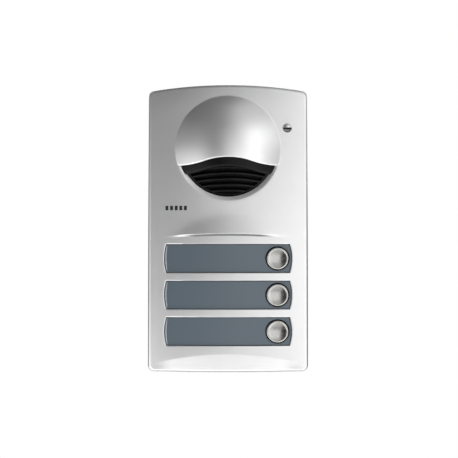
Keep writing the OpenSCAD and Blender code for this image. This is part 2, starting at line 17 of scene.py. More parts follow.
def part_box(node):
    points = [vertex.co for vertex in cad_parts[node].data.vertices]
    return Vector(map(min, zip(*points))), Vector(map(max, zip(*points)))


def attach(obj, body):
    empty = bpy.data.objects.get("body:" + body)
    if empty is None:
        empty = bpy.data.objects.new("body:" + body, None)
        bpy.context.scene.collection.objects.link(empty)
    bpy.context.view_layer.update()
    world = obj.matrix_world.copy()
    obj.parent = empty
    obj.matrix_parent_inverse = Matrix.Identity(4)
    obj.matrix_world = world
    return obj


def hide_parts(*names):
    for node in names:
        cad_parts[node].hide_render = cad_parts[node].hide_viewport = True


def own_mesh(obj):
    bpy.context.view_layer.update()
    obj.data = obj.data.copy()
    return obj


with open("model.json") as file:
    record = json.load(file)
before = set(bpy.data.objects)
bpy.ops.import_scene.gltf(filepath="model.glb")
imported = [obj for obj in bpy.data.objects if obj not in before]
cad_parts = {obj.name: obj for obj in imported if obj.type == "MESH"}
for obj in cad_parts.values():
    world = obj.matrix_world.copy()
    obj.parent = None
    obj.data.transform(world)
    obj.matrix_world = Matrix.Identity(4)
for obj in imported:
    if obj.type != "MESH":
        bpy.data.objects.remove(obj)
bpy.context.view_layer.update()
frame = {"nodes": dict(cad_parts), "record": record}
MM = 0.001


def box_mm(node):
    """Lowest and highest corner of a CAD node, in millimetres."""
    low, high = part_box(node)
    return np.array(low) / MM, np.array(high) / MM


# ---------------------------------------------------------------- driving sizes, in mm

fascia_low, fascia_high = box_mm("fascia")
seal_low = box_mm("weather_seal")[0]
TOP_Z = fascia_high[2]
BOTTOM_Z = fascia_low[2]
HALF_LOW = fascia_high[0]
HALF_HIGH = HALF_LOW - 0.7
CORNER_R = 4.7
ARCH_R = 395.0
FOOT_R = 2200.0
FRONT_DEPTH = 18.0
BOW_X = 500.0
BOW_Z = 2400.0
TOP_CURL = 1.0
TOP_CURL_REACH = 16.0
WALL = 2.2
BACK_Y = seal_low[1] - 0.1
EDGE_ROUND = 1.9

HOOD_Z = 62.3
HOOD_R = 41.1
HOOD_BALL_R = 58.9
HOOD_Y = fascia_low[1] + HOOD_BALL_R
GRILLE_R = 37.4
CHAMFER_R = 40.5
CHAMFER_DEPTH = 1.5
MOUTH_Z = 55.0
MOUTH_DROP = 6.0
MOUTH_HALF = 37.3
BAND_H = 7.2
BAND_R = 39.4
LOUVRE_PITCH = 4.4
LOUVRE_COUNT = 6

MIC_X, MIC_Z, MIC_R = 46.1, 78.5, 3.75
MIC_SLIT_TOP = MIC_Z + 0.2
MIC_SLIT_HALF_W, MIC_SLIT_HALF_H = 2.95, 0.58
MIC_SLIT_Z = MIC_SLIT_TOP - MIC_SLIT_HALF_H - 0.02
MIC_OPENING_R = 4.4
CREST_Z, CREST_RISE, CREST_ARC, CREST_WALL, CREST_LEAN = -3.5, 3.0, 545.0, 1.75, 12
CREASE_Z, CREASE_ARC, APRON_LEAN = -97.5, 227.0, 11

# Share of the paint darkened as painted shade: under the eyebrow, round the outer edge and in the
# microphone's dish
DROP_PAINTED_SHADE, RIM_PAINTED_SHADE, DISH_PAINTED_SHADE = 0.85, 0.62, 0.5

window_boxes = [box_mm(f"name_window_{i}") for i in (1, 2, 3)]
PLATE_Z = [(low[2] + high[2]) / 2 for low, high in window_boxes]
PLATE_HALF_W = 49.65
PLATE_HALF_H = 11.1
PLATE_END_R = 38.6
BUTTON_BOXES = [box_mm(f"button_cap_{i}") for i in (1, 2, 3)]
BUTTON_X = (BUTTON_BOXES[0][0][0] + BUTTON_BOXES[0][1][0]) / 2
BUTTON_R = (BUTTON_BOXES[0][1][0] - BUTTON_BOXES[0][0][0]) / 2


# ---------------------------------------------------------------- the fascia's surface


def smooth_max(value, softness):
    """value where it is positive and 0 where it is negative, with a soft turn between."""
    return 0.5 * (value + np.sqrt(value * value + softness * softness))


def smoothstep(low, high, value):
    t = np.clip((value - low) / (high - low), 0, 1)
    return t * t * (3 - 2 * t)


def round_over(distance, radius):
    """How far a quarter-round edge falls at a distance inside it."""
    d = np.clip(distance, 0, radius)
    return radius - np.sqrt(radius * radius - (radius - d) ** 2)


def side_end(centre_z, radius, half, up):
    """Height at which a straight side meets the corner under an end arc."""
    return centre_z + up * math.sqrt((radius - CORNER_R) ** 2 - (half - CORNER_R) ** 2)


SIDE_HIGH_Z = side_end(TOP_Z - ARCH_R, ARCH_R, HALF_HIGH, 1)
SIDE_LOW_Z = side_end(BOTTOM_Z + FOOT_R, FOOT_R, HALF_LOW, -1)


def half_width(z):
    return HALF_LOW + (HALF_HIGH - HALF_LOW) * (z - SIDE_LOW_Z) / (SIDE_HIGH_Z - SIDE_LOW_Z)


def edge_distance(x, z):
    """Distance inwards from the fascia's outline."""
    side = half_width(z) - np.abs(x)
    top = ARCH_R - np.hypot(x, z - (TOP_Z - ARCH_R))
    foot = FOOT_R - np.hypot(x, z - (BOTTOM_Z + FOOT_R))
    end = np.minimum(top, foot)
    corner = CORNER_R - np.hypot(CORNER_R - side, CORNER_R - end)
    in_corner = (side < CORNER_R) & (end < CORNER_R)
    return np.where(in_corner, corner, np.minimum(side, end))


def pillow(x, z):
    """The plain front surface, bowed both ways and turned back a little at the top."""
    from_top = ARCH_R - np.hypot(x, z - (TOP_Z - ARCH_R))
    curl = TOP_CURL * np.clip(1 - from_top / TOP_CURL_REACH, 0, 1) ** 2
    return BOW_X - np.sqrt(BOW_X**2 - x * x) + BOW_Z - np.sqrt(BOW_Z**2 - z * z) - FRONT_DEPTH + curl


def mouth_line(x):
    """Height of the gull-wing edge of the hood's mouth."""
    quarter = MOUTH_HALF / 2
    radius = (quarter**2 + (MOUTH_DROP / 2) ** 2) / MOUTH_DROP
    ax = np.minimum(np.abs(x), MOUTH_HALF)
    crest = MOUTH_Z - radius + np.sqrt(radius**2 - np.minimum(ax, quarter) ** 2)
    flank = MOUTH_Z - MOUTH_DROP + radius - np.sqrt(radius**2 - (MOUTH_HALF - np.maximum(ax, quarter)) ** 2)
    return np.where(ax < quarter, crest, flank)


def hood_cap(rho, ball_r=HOOD_BALL_R):
    return HOOD_Y - np.sqrt(np.maximum(ball_r**2 - rho * rho, 0))


def hood_face(x, z):
    """The dome of the hood, which meets the pillow all round its rim."""
    crown = float(pillow(0.0, HOOD_Z)) - fascia_low[1]
    ball_r = (HOOD_R**2 + crown**2) / (2 * crown)
    rho = np.minimum(np.hypot(x, z - HOOD_Z), HOOD_R)
    return pillow(x, z) - np.sqrt(ball_r**2 - rho * rho) + math.sqrt(ball_r**2 - HOOD_R**2)


def eyebrow_rise(x, z):
    """How far the eyebrow over the plates stands out of the pillow."""
    t = z - (CREST_Z - x * x / (2 * CREST_ARC))
    spread = 0.5 * (1 / 185 - 1 / BOW_X)
    slope = math.tan(math.radians(CREST_LEAN))
    ramp = smooth_max(CREST_RISE - spread * x * x - slope * np.maximum(t, 0), 0.7)
    ramp = np.maximum(ramp - 0.06, 0) * smoothstep(56, 40, np.abs(x)) * smoothstep(24, 12, t)
    wall = np.clip((t + CREST_WALL) / CREST_WALL, 0, 1)
    return ramp * (0.82 * wall + 0.18 * wall * wall * (3 - 2 * wall))


def apron_fall(x, z):
    """How far the strip under the plates leans back below its crease."""
    t = (CREASE_Z - x * x / (2 * CREASE_ARC)) - z
    fade = smoothstep(60, 44, np.abs(x))
    return (smooth_max(t, 0.5) - 0.02) * math.tan(math.radians(APRON_LEAN)) * fade


def plate_distance(x, z, plate_z):
    """Distance outwards from a name plate's outline, below 0 inside it."""
    end = np.hypot(np.abs(x) - (PLATE_HALF_W - PLATE_END_R), z - plate_z) - PLATE_END_R
    end = np.where(np.abs(x) < PLATE_HALF_W - PLATE_END_R, -PLATE_END_R, end)
    flat = np.abs(z - plate_z) - PLATE_HALF_H
    return np.where((end > 0) & (flat > 0), np.hypot(end, flat), np.maximum(end, flat))


def mic_relief(x, z, face):
    """The microphone's small hood and the dish under it."""
    q = np.hypot(x - MIC_X, z - MIC_Z)
    over = z - MIC_SLIT_TOP
    hood = face + 1.4 - np.sqrt(np.maximum(MIC_R**2 - q * q, 0))
    dish = face - 2.2 + np.sqrt(np.maximum((MIC_R + 0.4) ** 2 - q * q, 0))
    raised = np.where(q < MIC_R, np.minimum(hood, face), face)
    sunk = np.where(q < MIC_R, np.maximum(dish, face), face)
    return np.where(over > 0, raised, sunk)


def painted_shade(x, z):
    """Painted shade: how far the paint is darkened under the eyebrow, round the outer edge and in the
    microphone's dish.
    """
    t = z - (CREST_Z - x * x / (2 * CREST_ARC))
    drop = smoothstep(-2.2, -1.5, t) * smoothstep(-0.1, -0.9, t) * smoothstep(42, 24, np.abs(x))
    rim = smoothstep(1.5, 0.2, edge_distance(x, z))
    dish = (np.hypot(x - MIC_X, z - MIC_Z) < MIC_R) & (z < MIC_SLIT_TOP)
    return np.maximum.reduce([DROP_PAINTED_SHADE * drop, RIM_PAINTED_SHADE * rim, DISH_PAINTED_SHADE * dish])


def front(x, z):
    """Depth of the fascia's outer surface, all features included."""
    x = np.asarray(x, float)
    z = np.asarray(z, float)
    face = pillow(x, z) - eyebrow_rise(x, z) + apron_fall(x, z)
    for plate_z in PLATE_Z:
        face = face + round_over(np.maximum(plate_distance(x, z, plate_z), 0), 0.55) * (
            plate_distance(x, z, plate_z) < 0.55
        )
    face = mic_relief(x, z, face)
    rho = np.hypot(x, z - HOOD_Z)
    above = z - mouth_line(x)
    cap = hood_face(x, z) + round_over(np.maximum(above, 0), 0.9) * (above < 0.9)
    hood = np.where(rho <= HOOD_R, cap, face)
    chamfer = face + smooth_max(CHAMFER_R - rho, 0.35) * CHAMFER_DEPTH / (CHAMFER_R - GRILLE_R)
    lower = np.where(rho < CHAMFER_R + 1.5, chamfer, face)
    face = np.where(above > -0.05, hood, lower)
    return face + round_over(edge_distance(x, z), EDGE_ROUND)


# ---------------------------------------------------------------- outlines and point sets


def fascia_loop(inset, step=1.0):
    """Points round the fascia's outline, drawn in by an inset, anticlockwise."""
    corner = max(CORNER_R - inset, 0.6)
    low_x = HALF_LOW - inset - corner
    high_x = HALF_HIGH - inset - corner
    arch_r = ARCH_R - inset
    foot_r = FOOT_R - inset
    arch_c = TOP_Z - ARCH_R
    foot_c = BOTTOM_Z + FOOT_R
    high_z = arch_c + math.sqrt((arch_r - corner) ** 2 - high_x**2)
    low_z = foot_c - math.sqrt((foot_r - corner) ** 2 - low_x**2)
    arch_a = math.asin(high_x / (arch_r - corner))
    foot_a = math.asin(low_x / (foot_r - corner))
    n_arch = int(2 * arch_a * arch_r / step)
    n_side = int((high_z - low_z) / step)
    right, top, foot = [], [], []
    for k in range(13):
        a = -math.pi / 2 + foot_a + (math.pi / 2 - foot_a) * k / 12
        right.append((low_x + corner * math.cos(a), low_z + corner * math.sin(a)))
    for k in range(1, n_side):
        t = k / n_side
        right.append((low_x + corner + (high_x - low_x) * t, low_z + (high_z - low_z) * t))
    for k in range(13):
        a = (math.pi / 2 - arch_a) * k / 12
        top.append((high_x + corner * math.cos(a), high_z + corner * math.sin(a)))
    for k in range(1, n_arch):
        a = math.pi / 2 - arch_a + 2 * arch_a * k / n_arch
        top.append((arch_r * math.cos(a), arch_c + arch_r * math.sin(a)))
    left = [(-x, z) for x, z in reversed(right)]
    mirrored_corner = [(-x, z) for x, z in reversed(top[:13])]
    for k in range(1, n_arch):
        a = -math.pi / 2 - foot_a + 2 * foot_a * k / n_arch
        foot.append((foot_r * math.cos(a), foot_c + foot_r * math.sin(a)))
    return right + top + mirrored_corner + left + foot


def plate_loop(plate_z, grow, step=0.9):
    """Points round a name plate's outline, grown outwards."""
    radius = PLATE_END_R + grow
    half_h = PLATE_HALF_H + grow
    centre = PLATE_HALF_W - PLATE_END_R
    end_a = math.asin(half_h / radius)
    corner_x = centre + radius * math.cos(end_a)
    n_end = int(2 * end_a * radius / step)
    n_flat = int(2 * corner_x / step)
    points = []
    for k in range(n_end):
        a = -end_a + 2 * end_a * k / n_end
        points.append((centre + radius * math.cos(a), plate_z + radius * math.sin(a)))
    for k in range(n_flat):
        points.append((corner_x - 2 * corner_x * k / n_flat, plate_z + half_h))
    return points + [(-x, 2 * plate_z - z) for x, z in points]


def mouth_loop(step=0.8):
    """The hood's mouth: the gull-wing edge above and the grille's circle below."""
    end_x = GRILLE_R
    for _ in range(40):
        end_x = math.sqrt(GRILLE_R**2 - (HOOD_Z - float(mouth_line(end_x))) ** 2)
    end_a = math.atan2(float(mouth_line(end_x)) - HOOD_Z, end_x)
    n_line = int(2 * end_x / step)
    line = [(end_x - 2 * end_x * k / n_line) for k in range(n_line)]
    points = [(x, float(mouth_line(x))) for x in line]
    sweep = math.pi + 2 * end_a
    n_arc = int(sweep * GRILLE_R / step)
    for k in range(n_arc):
        a = math.pi - end_a + sweep * k / n_arc
        points.append((GRILLE_R * math.cos(a), HOOD_Z + GRILLE_R * math.sin(a)))
    return points


def mic_slit_loop():
    """The sound slit under the microphone's hood."""
    half_w, half_h, n = MIC_SLIT_HALF_W, MIC_SLIT_HALF_H, 8
    points = []
    for side, start in ((1, -math.pi / 2), (-1, math.pi / 2)):
        for k in range(n + 1):
            a = start + math.pi * k / n
            points.append(
                (
                    MIC_X + side * (half_w - half_h) + half_h * math.cos(a),
                    MIC_SLIT_Z + half_h * math.sin(a),
                )
            )
    return points


def circle_points(cx, cz, radius, step):
    n = max(8, int(2 * math.pi * radius / step))
    angles = [2 * math.pi * k / n for k in range(n)]
    return [(cx + radius * math.cos(a), cz + radius * math.sin(a)) for a in angles]


def feature_points():
    """Rows and rings of points where the fascia's surface turns sharply."""
    points = []
    for inset in (0.1, 0.28, 0.55, 0.9, EDGE_ROUND, 2.2, 3.2):
        points += fascia_loop(inset)
    for plate_z in PLATE_Z:
        for grow in (0.06, 0.16, 0.32, 0.55, 0.9):
            points += plate_loop(plate_z, grow)
    for radius in (37.48, 37.7, 38.2, 39.0, 39.7, 40.1, 40.4, 40.7, 40.9, 41.1, 41.3, 41.6, 42.1, 42.8):
        points += circle_points(0, HOOD_Z, radius, 0.9)
    for offset in (-0.12, -0.02, 0.08, 0.22, 0.42, 0.8, 1.3):
        for x in np.arange(-42, 42.01, 0.75):
            points.append((x, float(mouth_line(x)) + offset))
    for offset in (-2.6, -2.1, -1.85, -1.75, -1.65, -1.3, -0.85, -0.4, -0.1, 0.0, 0.1, 0.3, 0.7, 1.3):
        for x in np.arange(-56, 56.01, 1.1):
            points.append((x, CREST_Z - x * x / (2 * CREST_ARC) + offset))
    for offset in (-1.6, -1.0, -0.6, -0.3, 0.0, 0.3, 0.6, 1.0, 1.6):
        for x in np.arange(-60, 60.01, 1.2):
            points.append((x, CREASE_Z - x * x / (2 * CREASE_ARC) + offset))
    for radius in (0.5, 1.1, 1.7, 2.3, 2.8, 3.2, 3.5, 3.65, 3.8, 4.2, 5.0):
        points += circle_points(MIC_X, MIC_Z, radius, 0.4)
    for offset in (-0.06, 0.03, 0.12):
        for x in np.arange(-3.7, 3.71, 0.25):
            points.append((MIC_X + x, MIC_SLIT_TOP + offset))
    return points


# ---------------------------------------------------------------- mesh helpers


def make_object(name, verts_mm, faces, body="panel", slot=None, smooth=True):
    """A mesh object from points in millimetres, riding on a CAD body."""
    mesh = bpy.data.meshes.new(name)
    mesh.from_pydata([tuple(np.array(v) * MM) for v in verts_mm], [], faces)
    mesh.validate()
    bm = bmesh.new()
    bm.from_mesh(mesh)
    bmesh.ops.recalc_face_normals(bm, faces=bm.faces)
    bm.to_mesh(mesh)
    bm.free()
    mesh.polygons.foreach_set("use_smooth", [smooth] * len(mesh.polygons))
    obj = bpy.data.objects.new(name, mesh)
    bpy.context.scene.collection.objects.link(obj)
    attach(obj, body)
    return obj


def weld(obj):
    """Joins vertices that lie in the same place."""
    bm = bmesh.new()
    bm.from_mesh(obj.data)
    bmesh.ops.remove_doubles(bm, verts=bm.verts, dist=1e-6)
    bm.to_mesh(obj.data)
    bm.free()


def sharpen(obj, degrees=35):
    """Keeps edges crisp where faces meet at more than an angle."""
    limit = math.radians(degrees)
    bm = bmesh.new()
    bm.from_mesh(obj.data)
    for edge in bm.edges:
        if len(edge.link_faces) == 2 and edge.calc_face_angle(0) > limit:
            edge.smooth = False
    bm.to_mesh(obj.data)
    bm.free()


def triangulate_area(boundary_loops, loose_points, keep):
    """Triangles over an area of the X-Z plane. keep(x, z) says which triangles stay, by their middles."""
    points, edges = [], []
    for loop in boundary_loops:
        first = len(points)
        points += loop
        edges += [(first + k, first + (k + 1) % len(loop)) for k in range(len(loop))]
    points += loose_points
    verts, _, faces, _, _, _ = delaunay_2d_cdt([Vector(p) for p in points], edges, [], 0, 1e-4)
    flat = np.array([(v[0], v[1]) for v in verts])
    tris = np.array([f for f in faces if len(f) == 3])
    middle = flat[tris].mean(axis=1)
    tris = tris[keep(middle[:, 0], middle[:, 1])]
    used = np.unique(tris)
    renumber = np.full(len(flat), -1)
    renumber[used] = np.arange(len(used))
    return flat[used], renumber[tris]


def boundary_edges(tris):
    """The directed edges that only one triangle has."""
    seen = {}
    for a, b, c in tris:
        for u, v in ((a, b), (b, c), (c, a)):
            seen[(u, v)] = True
    return [(u, v) for u, v in seen if (v, u) not in seen]


def lathe(name, profile, centre, body, slot, segments=128):
    """A closed solid of revolution about Y.

    The profile is a list of (radius, y), from axis to axis or in a ring.
    """
    cx, cz = centre
    ring = profile[0][0] > 1e-6
    verts, faces = [], []
    for k in range(segments):
        a = 2 * math.pi * k / segments
        for radius, y in profile:
            verts.append((cx + radius * math.cos(a), y, cz + radius * math.sin(a)))
    n = len(profile)
    for k in range(segments):
        for j in range(n if ring else n - 1):
            a, b = k * n + j, k * n + (j + 1) % n
            c, d = ((k + 1) % segments) * n + (j + 1) % n, ((k + 1) % segments) * n + j
            faces.append((a, b, c, d))
    obj = make_object(name, verts, faces, body, slot)
    bm = bmesh.new()
    bm.from_mesh(obj.data)
    bmesh.ops.remove_doubles(bm, verts=bm.verts, dist=1e-7)
    bmesh.ops.dissolve_degenerate(bm, dist=1e-8, edges=bm.edges)
    bmesh.ops.recalc_face_normals(bm, faces=bm.faces)
    bm.to_mesh(obj.data)
    bm.free()
    obj.data.polygons.foreach_set("use_smooth", [True] * len(obj.data.polygons))
    return obj


def sweep(sections):
    """Verts and faces of a closed solid through a row of sections, each the same number of points."""
    n = len(sections[0])
    verts = [p for section in sections for p in section]
    faces = []
    for s in range(len(sections) - 1):
        for k in range(n):
            a, b = s * n + k, s * n + (k + 1) % n
            faces.append((a, b, b + n, a + n))
    faces.append(tuple(range(n)))
    faces.append(tuple((len(sections) - 1) * n + k for k in reversed(range(n))))
    return verts, faces


def merge(parts):
    """Several (verts, faces) pairs as one."""
    verts, faces = [], []
    for part_verts, part_faces in parts:
        base = len(verts)
        verts += list(part_verts)
        faces += [tuple(base + i for i in f) for f in part_faces]
    return verts, faces


# ---------------------------------------------------------------- materials


class Shader:
    """A Principled material with small helpers for its procedural nodes."""

    def __init__(self, name, color, roughness, metallic=0.0):
        self.material = bpy.data.materials.new(name)
        self.material.use_nodes = True
        self.tree = self.material.node_tree
        self.bsdf = self.tree.nodes["Principled BSDF"]
        self.bsdf.inputs["Base Color"].default_value = (*color, 1)
        self.bsdf.inputs["Roughness"].default_value = roughness
        self.bsdf.inputs["Metallic"].default_value = metallic
        self.color = color
        self.roughness = roughness
        self.coords = self.node("ShaderNodeTexCoord").outputs["Object"]
        self.normal = None

    def node(self, kind, **settings):
        made = self.tree.nodes.new(kind)
        for key, value in settings.items():
            setattr(made, key, value)
        return made

    def link(self, output, target):
        self.tree.links.new(output, target)

    def stretched(self, scale):
        mapping = self.node("ShaderNodeMapping")
        mapping.inputs["Scale"].default_value = scale
        self.link(self.coords, mapping.inputs["Vector"])
        return mapping.outputs["Vector"]

    def noise(self, scale, detail=3.0, stretch=None):
        made = self.node("ShaderNodeTexNoise")
        made.inputs["Scale"].default_value = scale
        made.inputs["Detail"].default_value = detail
        self.link(self.stretched(stretch) if stretch else self.coords, made.inputs["Vector"])
        return made.outputs["Fac"]

    def span(self, value, low, high, from_low=0.3, from_high=0.7):
        made = self.node("ShaderNodeMapRange")
        made.inputs["From Min"].default_value = from_low
        made.inputs["From Max"].default_value = from_high
        made.inputs["To Min"].default_value = low
        made.inputs["To Max"].default_value = high
        self.link(value, made.inputs["Value"])
        return made.outputs["Result"]

    def mix(self, factor, first, second):
        made = self.node("ShaderNodeMix", data_type="RGBA")
        for socket, value in ((made.inputs[6], first), (made.inputs[7], second)):
            if isinstance(value, tuple):
                socket.default_value = (*value, 1)
            else:
                self.link(value, socket)
        self.link(factor, made.inputs[0])
        return made.outputs[2]

    def mottle(self, scale, amount):
        """Gentle lighter and darker patches in the base colour."""
        darker = tuple(c * (1 - amount) for c in self.color)
        lighter = tuple(min(1.0, c * (1 + amount)) for c in self.color)
        factor = self.span(self.noise(scale, 4), 0, 1)
        self.link(self.mix(factor, darker, lighter), self.bsdf.inputs["Base Color"])
        return self

    def vary_roughness(self, scale, amount):
        result = self.span(self.noise(scale, 2), self.roughness - amount, self.roughness + amount)
        self.link(result, self.bsdf.inputs["Roughness"])
        return self

    def bump(self, height, strength, distance):
        made = self.node("ShaderNodeBump")
        made.inputs["Strength"].default_value = strength
        made.inputs["Distance"].default_value = distance
        self.link(height, made.inputs["Height"])
        if self.normal is not None:
            self.link(self.normal, made.inputs["Normal"])
        self.normal = made.outputs["Normal"]
        self.link(self.normal, self.bsdf.inputs["Normal"])
        return self


def satin_metal():
    """Fine-grained silver paint on die-cast metal, mixed towards near-black by a vertex attribute as painted
    shade.
    """
    shader = Shader("satin_silver", (0.77, 0.77, 0.775), 0.42, 0.92)
    shader.mottle(90, 0.012)
    unshaded_color = shader.bsdf.inputs["Base Color"].links[0].from_socket
    # Painted shade: a vertex attribute darkens the paint under the eyebrow, round the outer edge and in the
    # microphone's dish
    painted_shade = shader.node("ShaderNodeAttribute", attribute_name="painted_shade").outputs["Fac"]
    shader.link(shader.mix(painted_shade, unshaded_color, (0.05, 0.05, 0.052)), shader.bsdf.inputs["Base Color"])
    shader.vary_roughness(160, 0.01)
    shader.bump(shader.noise(9000, 2), 0.05, 0.00002)
    shader.bump(shader.noise(900, 2), 0.03, 0.00003)
    return shader.material


def black_plastic():
    """Satin moulded plastic with a fine spark texture."""
    shader = Shader("black_plastic", (0.003, 0.003, 0.0032), 0.34)
    shader.bsdf.inputs["Specular IOR Level"].default_value = 0.14
    shader.mottle(200, 0.15)
    shader.vary_roughness(700, 0.06)
    shader.bump(shader.noise(5200, 2), 0.08, 0.00003)
    return shader.material


def grey_plastic():
    shader = Shader("grey_plastic", (0.085, 0.088, 0.092), 0.5)
    shader.mottle(60, 0.06)
    shader.vary_roughness(240, 0.06)
    shader.bump(shader.noise(2600, 3), 0.18, 0.00006)
    return shader.material


def zinc_steel():
    """Zinc-plated steel with a faint rolled grain and blued patches."""
    shader = Shader("zinc_steel", (0.6, 0.6, 0.58), 0.34, 1.0)
    patches = shader.span(shader.noise(45, 5), 0, 1)
    shader.link(shader.mix(patches, (0.5, 0.51, 0.5), (0.66, 0.65, 0.6)), shader.bsdf.inputs["Base Color"])
    shader.vary_roughness(90, 0.08)
    shader.bump(shader.noise(800, 3, (1, 1, 14)), 0.1, 0.00004)
    return shader.material


def spun_steel():
    """The call buttons' satin stainless steel, with fine noise in colour, roughness and surface; the real
    caps' fine turned rings are not drawn.
    """
    shader = Shader("spun_steel", (0.47, 0.465, 0.45), 0.22, 1.0)
    shader.mottle(300, 0.03)
    shader.vary_roughness(500, 0.04)
    shader.bump(shader.noise(4200, 2), 0.05, 0.00002)
    return shader.material


def black_rubber():
    shader = Shader("black_rubber", (0.014, 0.014, 0.014), 0.62)
    shader.mottle(120, 0.2)
    shader.vary_roughness(300, 0.08)
    shader.bump(shader.noise(1800, 4), 0.25, 0.00008)
    return shader.material


def dark_inlay():
    shader = Shader("dark_inlay", (0.012, 0.012, 0.013), 0.42)
    shader.mottle(400, 0.2)
    shader.vary_roughness(800, 0.05)
    shader.bump(shader.noise(4000, 2), 0.06, 0.00003)
    return shader.material


def felt():
    """Black acoustic scrim: a fine open weave."""
    shader = Shader("felt", (0.006, 0.006, 0.006), 0.95)
    for stretch in ((1, 0.01, 0.01), (0.01, 0.01, 1)):
        wave = shader.node("ShaderNodeTexWave", wave_type="BANDS", bands_direction="DIAGONAL")
        wave.inputs["Scale"].default_value = 900
        wave.inputs["Distortion"].default_value = 0.6
        shader.link(shader.stretched(stretch), wave.inputs["Vector"])
        shader.bump(wave.outputs["Fac"], 0.4, 0.00015)
    shader.mottle(500, 0.4)
    return shader.material


def magnet_iron():
    shader = Shader("magnet_iron", (0.035, 0.035, 0.037), 0.6, 0.3)
    shader.mottle(150, 0.25)
    shader.vary_roughness(200, 0.1)
    shader.bump(shader.noise(1500, 5), 0.35, 0.0001)
    return shader.material


def paper_cone():
    shader = Shader("paper_cone", (0.03, 0.027, 0.022), 0.88)
    shader.mottle(250, 0.3)
    shader.bump(shader.noise(1200, 6, (1, 0.3, 1)), 0.5, 0.00012)
    return shader.material


def capsule_metal():
    """A black-lacquered can, dull like the cloth over a capsule's sound hole."""
    shader = Shader("capsule_metal", (0.012, 0.012, 0.013), 0.7)
    shader.mottle(200, 0.05)
    shader.vary_roughness(400, 0.06)
    shader.bump(shader.noise(1600, 2, (1, 10, 1)), 0.08, 0.00003)
    return shader.material


def clear_window():
    """Hard-coated clear sheet: mostly see-through, with a faint sheen and hairline grain."""
    shader = Shader("clear_window", (0.132, 0.165, 0.195), 0.3)
    shader.bsdf.inputs["Alpha"].default_value = 0.72
    shader.vary_roughness(60, 0.012)
    shader.bump(shader.noise(3000, 2), 0.02, 0.00001)
    shader.material.surface_render_method = "BLENDED"
    return shader.material


def bevel_highlight_finish():
    """The polished bevel at a window's left end, coloured light grey as a painted highlight on top of the
    light it catches.
    """
    shader = Shader("bevel_highlight_finish", (0.42, 0.45, 0.47), 0.25, 0.5)
    shader.mottle(400, 0.05)
    shader.vary_roughness(300, 0.04)
    shader.bump(shader.noise(2000, 2), 0.04, 0.00002)
    return shader.material


def name_card():
    """Printed blue-grey card, with paper fibre in its surface."""
    shader = Shader("name_card", (0.125, 0.165, 0.195), 0.7)
    fibre = shader.span(shader.noise(700, 6), 0, 1)
    color = shader.mix(fibre, (0.118, 0.157, 0.186), (0.132, 0.174, 0.205))
    shader.link(color, shader.bsdf.inputs["Base Color"])
    shader.vary_roughness(400, 0.05)
    shader.bump(shader.noise(2400, 4), 0.12, 0.00004)
    return shader.material


def white_plastic():
    shader = Shader("white_plastic", (0.42, 0.43, 0.44), 0.45)
    shader.bsdf.inputs["Subsurface Weight"].default_value = 0.2
    shader.bsdf.inputs["Subsurface Scale"].default_value = 0.001
    shader.mottle(80, 0.03)
    shader.vary_roughness(300, 0.05)
    shader.bump(shader.noise(1500, 2), 0.08, 0.00004)
    return shader.material


def circuit_board():
    """Green solder mask with copper tracks showing faintly under it."""
    shader = Shader("circuit_board", (0.01, 0.09, 0.035), 0.3)
    brick = shader.node("ShaderNodeTexBrick")
    brick.inputs["Scale"].default_value = 140
    brick.inputs["Mortar Size"].default_value = 0.035
    brick.inputs["Color1"].default_value = (0.008, 0.075, 0.03, 1)
    brick.inputs["Color2"].default_value = (0.012, 0.1, 0.04, 1)
    brick.inputs["Mortar"].default_value = (0.03, 0.2, 0.08, 1)
    turned = shader.node("ShaderNodeMapping")
    turned.inputs["Rotation"].default_value = (math.pi / 2, 0, 0)
    shader.link(shader.coords, turned.inputs["Vector"])
    shader.link(turned.outputs["Vector"], brick.inputs["Vector"])
    shader.link(brick.outputs["Color"], shader.bsdf.inputs["Base Color"])
    shader.bump(brick.outputs["Fac"], 0.3, 0.00005)
    shader.vary_roughness(200, 0.05)
    shader.bsdf.inputs["Coat Weight"].default_value = 0.4
    return shader.material


def tinted_plastic(name, color, roughness):
    shader = Shader(name, color, roughness)
    shader.mottle(150, 0.08)
    shader.vary_roughness(400, 0.06)
    shader.bump(shader.noise(2200, 3), 0.12, 0.00005)
    return shader.material


MATERIALS = {
    "satin_metal": satin_metal(),
    "dark_inlay": dark_inlay(),
    "black_plastic": black_plastic(),
    "felt": felt(),
    "grey_plastic": grey_plastic(),
    "zinc_steel": zinc_steel(),
    "black_rubber": black_rubber(),
    "magnet_iron": magnet_iron(),
    "paper_cone": paper_cone(),
    "capsule_metal": capsule_metal(),
    "clear_window": clear_window(),
    "card": name_card(),
    "white_plastic": white_plastic(),
    "button_metal": spun_steel(),
    "circuit_board": circuit_board(),
    "blue_plastic": tinted_plastic("blue_plastic", (0.015, 0.06, 0.3), 0.35),
    "green_plastic": tinted_plastic("green_plastic", (0.015, 0.17, 0.06), 0.4),
    "dark_sleeve": tinted_plastic("dark_sleeve", (0.01, 0.014, 0.05), 0.3),
}


# Painted highlight finish for the crescents at the windows' left ends
BEVEL_HIGHLIGHT_MATERIAL = bevel_highlight_finish()


def paint(obj, slot):
    obj.data.materials.clear()
    obj.data.materials.append(MATERIALS[slot])
    return obj


# ---------------------------------------------------------------- pieces


